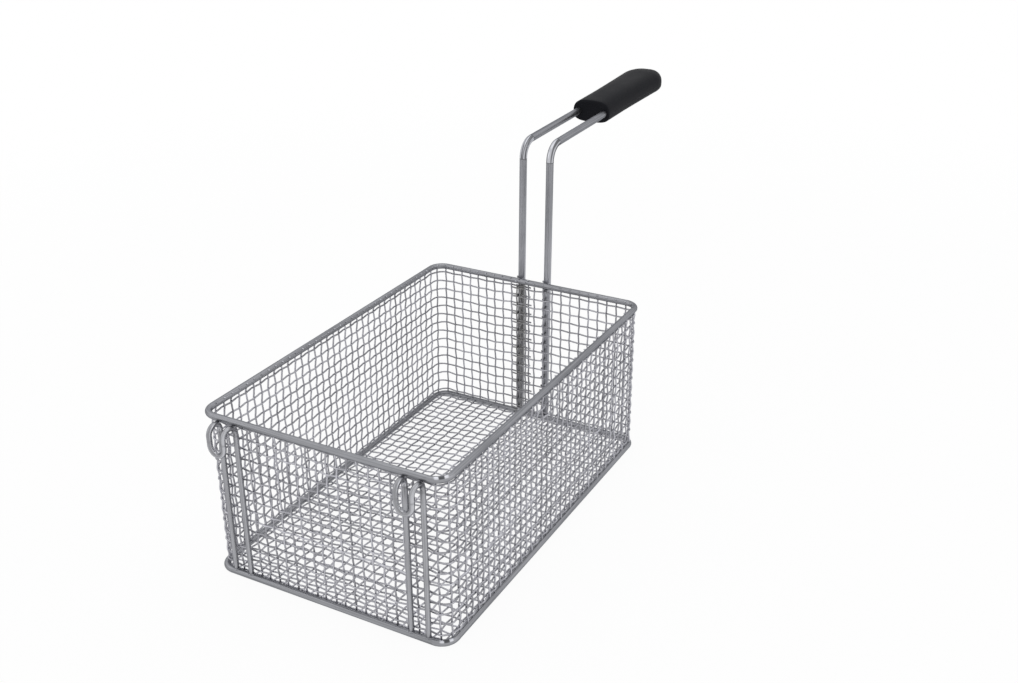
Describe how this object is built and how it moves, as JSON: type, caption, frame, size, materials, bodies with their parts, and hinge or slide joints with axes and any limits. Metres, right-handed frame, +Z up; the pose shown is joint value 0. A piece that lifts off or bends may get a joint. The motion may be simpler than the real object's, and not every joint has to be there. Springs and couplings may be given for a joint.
{
  "type": "deep fryer basket",
  "caption": "Rectangular deep fryer basket of woven wire cloth on a wire frame, with drain hooks on the front wall and a raised wire handle with a black grip",
  "frame": {"origin": "on the floor, under the middle of the whole object's box", "axes": "+Y from the hooks towards the grip, +Z up, +X to the right seen from the hooks"},
  "size_m": [0.205, 0.5832, 0.2757],
  "materials": {
    "frame_steel": "satin nickel-plated wire, brighter where it is bent",
    "hook_steel": "satin nickel-plated wire",
    "cloth_steel": "satin plated woven wire cloth",
    "grip_plastic": "matt black moulded plastic"
  },
  "bodies": {
    "root": {"top_rim": "frame_steel", "bottom_frame": "frame_steel", "wall_cloth": "cloth_steel", "base_cloth": "cloth_steel", "left_hook": "hook_steel", "right_hook": "hook_steel", "handle_wire": "frame_steel", "grip": "grip_plastic"}
  },
  "joints": []
}
